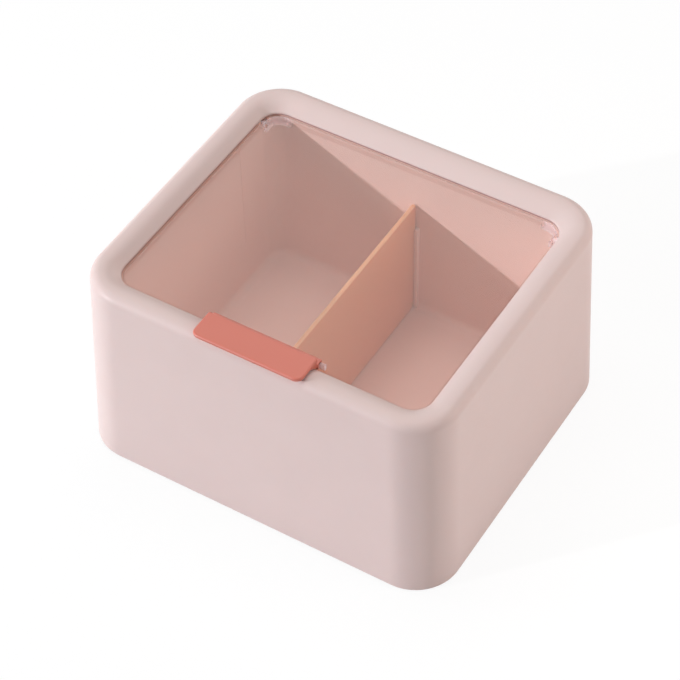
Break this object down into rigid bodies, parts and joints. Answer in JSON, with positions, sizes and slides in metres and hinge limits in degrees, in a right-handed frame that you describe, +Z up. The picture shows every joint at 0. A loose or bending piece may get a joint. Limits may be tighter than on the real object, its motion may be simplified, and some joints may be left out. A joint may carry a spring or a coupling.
{
  "type": "cosmetic organizer box",
  "caption": "Low countertop box with outward leaning walls, a soft rounded rim, a sunken clear hinged lid with a front handle, and an inner tray split by a lift-out divider.",
  "frame": {"origin": "on the table, under the middle of the box", "axes": "+X to the right seen from the front, -Y to the front where the handle is, +Z up"},
  "size_m": [0.156, 0.136, 0.0888],
  "materials": {
    "shell_plastic": "fine matt moulding, pale pink",
    "tray_plastic": "fine matt moulding, pink",
    "base_plastic": "fine matt moulding, pale pink",
    "foot_rubber": "soft, matt",
    "clear_plastic": "clear and polished",
    "handle_plastic": "satin, coral"
  },
  "bodies": {
    "box": {"outer_shell": "shell_plastic", "inner_tray": "tray_plastic", "base_plate": "base_plastic", "foot_front_left": "foot_rubber", "foot_front_right": "foot_rubber", "foot_rear_left": "foot_rubber", "foot_rear_right": "foot_rubber"},
    "lid": {"lid": "clear_plastic", "lid_handle": "handle_plastic"},
    "divider": {"divider": "tray_plastic"}
  },
  "joints": [
    {"name": "lid_hinge", "type": "hinge", "parent": "box", "child": "lid", "pos_m": [0, 0.0464, 0.08075], "axis": [-1, 0, 0], "range_deg": [0, 105]},
    {"name": "divider_lift", "type": "slide", "parent": "box", "child": "divider", "axis": [0, 0, 1], "range_m": [0, 0.011]}
  ]
}
